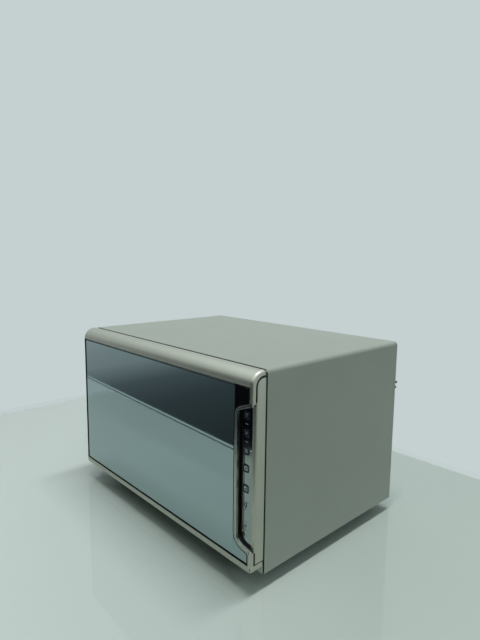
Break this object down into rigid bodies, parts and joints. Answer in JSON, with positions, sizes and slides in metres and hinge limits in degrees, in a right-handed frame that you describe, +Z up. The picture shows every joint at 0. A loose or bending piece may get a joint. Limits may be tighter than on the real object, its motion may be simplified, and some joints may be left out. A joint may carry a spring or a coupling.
{
  "type": "countertop microwave oven",
  "caption": "Countertop microwave oven with a side-hinged mirrored door, a swept grip cut-out over a key column, a glass turntable and its power parts.",
  "frame": {"origin": "on the counter under the middle of the oven's box", "axes": "+X to the right seen from the front, the door faces -Y, +Z up"},
  "size_m": [0.461, 0.3444, 0.285],
  "materials": {
    "case_paint": "warm grey powder coat",
    "plain_steel": "zinc-plated sheet",
    "enamel": "pale grey cavity paint",
    "door_silver": "champagne silver paint on moulded plastic",
    "mirror_glass": "mirror-coated float glass",
    "bright_trim": "satin plated plastic",
    "seal_black": "black gasket",
    "black_plastic": "moulded black",
    "fascia_mirror": "silvered acrylic",
    "clear_glass": "clear glass",
    "white_plastic": "natural heat-proof plastic",
    "circuit_board": "solder-masked board",
    "device_black": "moulded component bodies",
    "copper_iron": "varnished core and winding",
    "can_aluminium": "drawn can",
    "mica": "mica sheet",
    "lamp_white": "diffused lamp",
    "foot_rubber": "moulded rubber"
  },
  "bodies": {
    "case": {"outer_wrapper": "case_paint", "base_plate": "plain_steel", "rear_panel": "plain_steel", "case_screws": "plain_steel", "rear_spacers": "black_plastic", "feet": "foot_rubber", "front_plate": "enamel", "oven_cavity": "enamel", "control_housing": "door_silver", "key_fascia": "fascia_mirror", "display_module": "device_black", "status_lamp": "lamp_white", "control_board": "circuit_board", "key_switches": "device_black", "upper_hinge": "plain_steel", "lower_hinge": "plain_steel", "latch_bracket": "white_plastic", "interlock_switches": "device_black", "magnetron": "plain_steel", "waveguide": "plain_steel", "waveguide_cover": "mica", "transformer": "copper_iron", "capacitor": "can_aluminium", "diode": "device_black", "fan_duct": "white_plastic", "fan_motor": "plain_steel", "filter_board": "circuit_board", "cavity_lamp": "clear_glass", "thermostat": "device_black", "turntable_motor": "plain_steel", "cord_gland": "black_plastic"},
    "door": {"door_frame": "door_silver", "door_glass": "mirror_glass", "glass_gasket": "seal_black", "handle_trim": "bright_trim", "choke_frame": "plain_steel", "choke_cover": "black_plastic", "door_screen": "plain_steel", "inner_window": "clear_glass"},
    "latch": {"door_latch": "white_plastic", "latch_spring": "plain_steel"},
    "turntable": {"turntable_coupler": "white_plastic", "glass_plate": "clear_glass"},
    "ring": {"roller_ring": "white_plastic"},
    "fan": {"fan_impeller": "white_plastic"},
    "roller_1": {"roller_1": "white_plastic"},
    "roller_2": {"roller_2": "white_plastic"},
    "roller_3": {"roller_3": "white_plastic"},
    "key_1": {"key_1": "fascia_mirror"},
    "key_2": {"key_2": "fascia_mirror"},
    "key_3": {"key_3": "fascia_mirror"},
    "key_4": {"key_4": "fascia_mirror"},
    "key_5": {"key_5": "fascia_mirror"},
    "key_6": {"key_6": "fascia_mirror"},
    "key_7": {"key_7": "fascia_mirror"}
  },
  "joints": [
    {"name": "door_hinge", "type": "hinge", "parent": "case", "child": "door", "pos_m": [-0.2235, -0.1546, 0.15], "axis": [0, 0, -1], "range_deg": [0, 95]},
    {"name": "latch_lift", "type": "slide", "parent": "door", "child": "latch", "axis": [0, 0, 1], "range_m": [0, 0.004], "stiffness_N_per_m": 300, "deforming": ["latch_spring"]},
    {"name": "turntable_spin", "type": "hinge", "parent": "case", "child": "turntable", "pos_m": [-0.057, -0.0018, 0.06], "axis": [0, 0, 1], "continuous": true},
    {"name": "ring_spin", "type": "hinge", "parent": "case", "child": "ring", "pos_m": [-0.057, -0.0018, 0.0508], "axis": [0, 0, 1], "continuous": true},
    {"name": "fan_spin", "type": "hinge", "parent": "case", "child": "fan", "pos_m": [0.1685, 0.1052, 0.124], "axis": [0, 1, 0], "continuous": true},
    {"name": "roller_1_spin", "type": "hinge", "parent": "ring", "child": "roller_1", "pos_m": [-0.057, 0.0862, 0.0508], "axis": [0, 1, 0], "continuous": true},
    {"name": "roller_2_spin", "type": "hinge", "parent": "ring", "child": "roller_2", "pos_m": [-0.13321, -0.0458, 0.0508], "axis": [-0.866, -0.5, 0], "continuous": true},
    {"name": "roller_3_spin", "type": "hinge", "parent": "ring", "child": "roller_3", "pos_m": [0.01921, -0.0458, 0.0508], "axis": [0.866, -0.5, 0], "continuous": true},
    {"name": "key_1_press", "type": "slide", "parent": "case", "child": "key_1", "axis": [0, 1, 0], "range_m": [0, 0.0008], "stiffness_N_per_m": 400},
    {"name": "key_2_press", "type": "slide", "parent": "case", "child": "key_2", "axis": [0, 1, 0], "range_m": [0, 0.0008], "stiffness_N_per_m": 400},
    {"name": "key_3_press", "type": "slide", "parent": "case", "child": "key_3", "axis": [0, 1, 0], "range_m": [0, 0.0008], "stiffness_N_per_m": 400},
    {"name": "key_4_press", "type": "slide", "parent": "case", "child": "key_4", "axis": [0, 1, 0], "range_m": [0, 0.0008], "stiffness_N_per_m": 400},
    {"name": "key_5_press", "type": "slide", "parent": "case", "child": "key_5", "axis": [0, 1, 0], "range_m": [0, 0.0008], "stiffness_N_per_m": 400},
    {"name": "key_6_press", "type": "slide", "parent": "case", "child": "key_6", "axis": [0, 1, 0], "range_m": [0, 0.0008], "stiffness_N_per_m": 400},
    {"name": "key_7_press", "type": "slide", "parent": "case", "child": "key_7", "axis": [0, 1, 0], "range_m": [0, 0.0008], "stiffness_N_per_m": 400}
  ],
  "couplings": [
    {"joint": "ring_spin", "follows": "turntable_spin", "ratio": 0.5},
    {"joint": "roller_1_spin", "follows": "turntable_spin", "ratio": -5.8667},
    {"joint": "roller_2_spin", "follows": "turntable_spin", "ratio": -5.8667},
    {"joint": "roller_3_spin", "follows": "turntable_spin", "ratio": -5.8667}
  ]
}
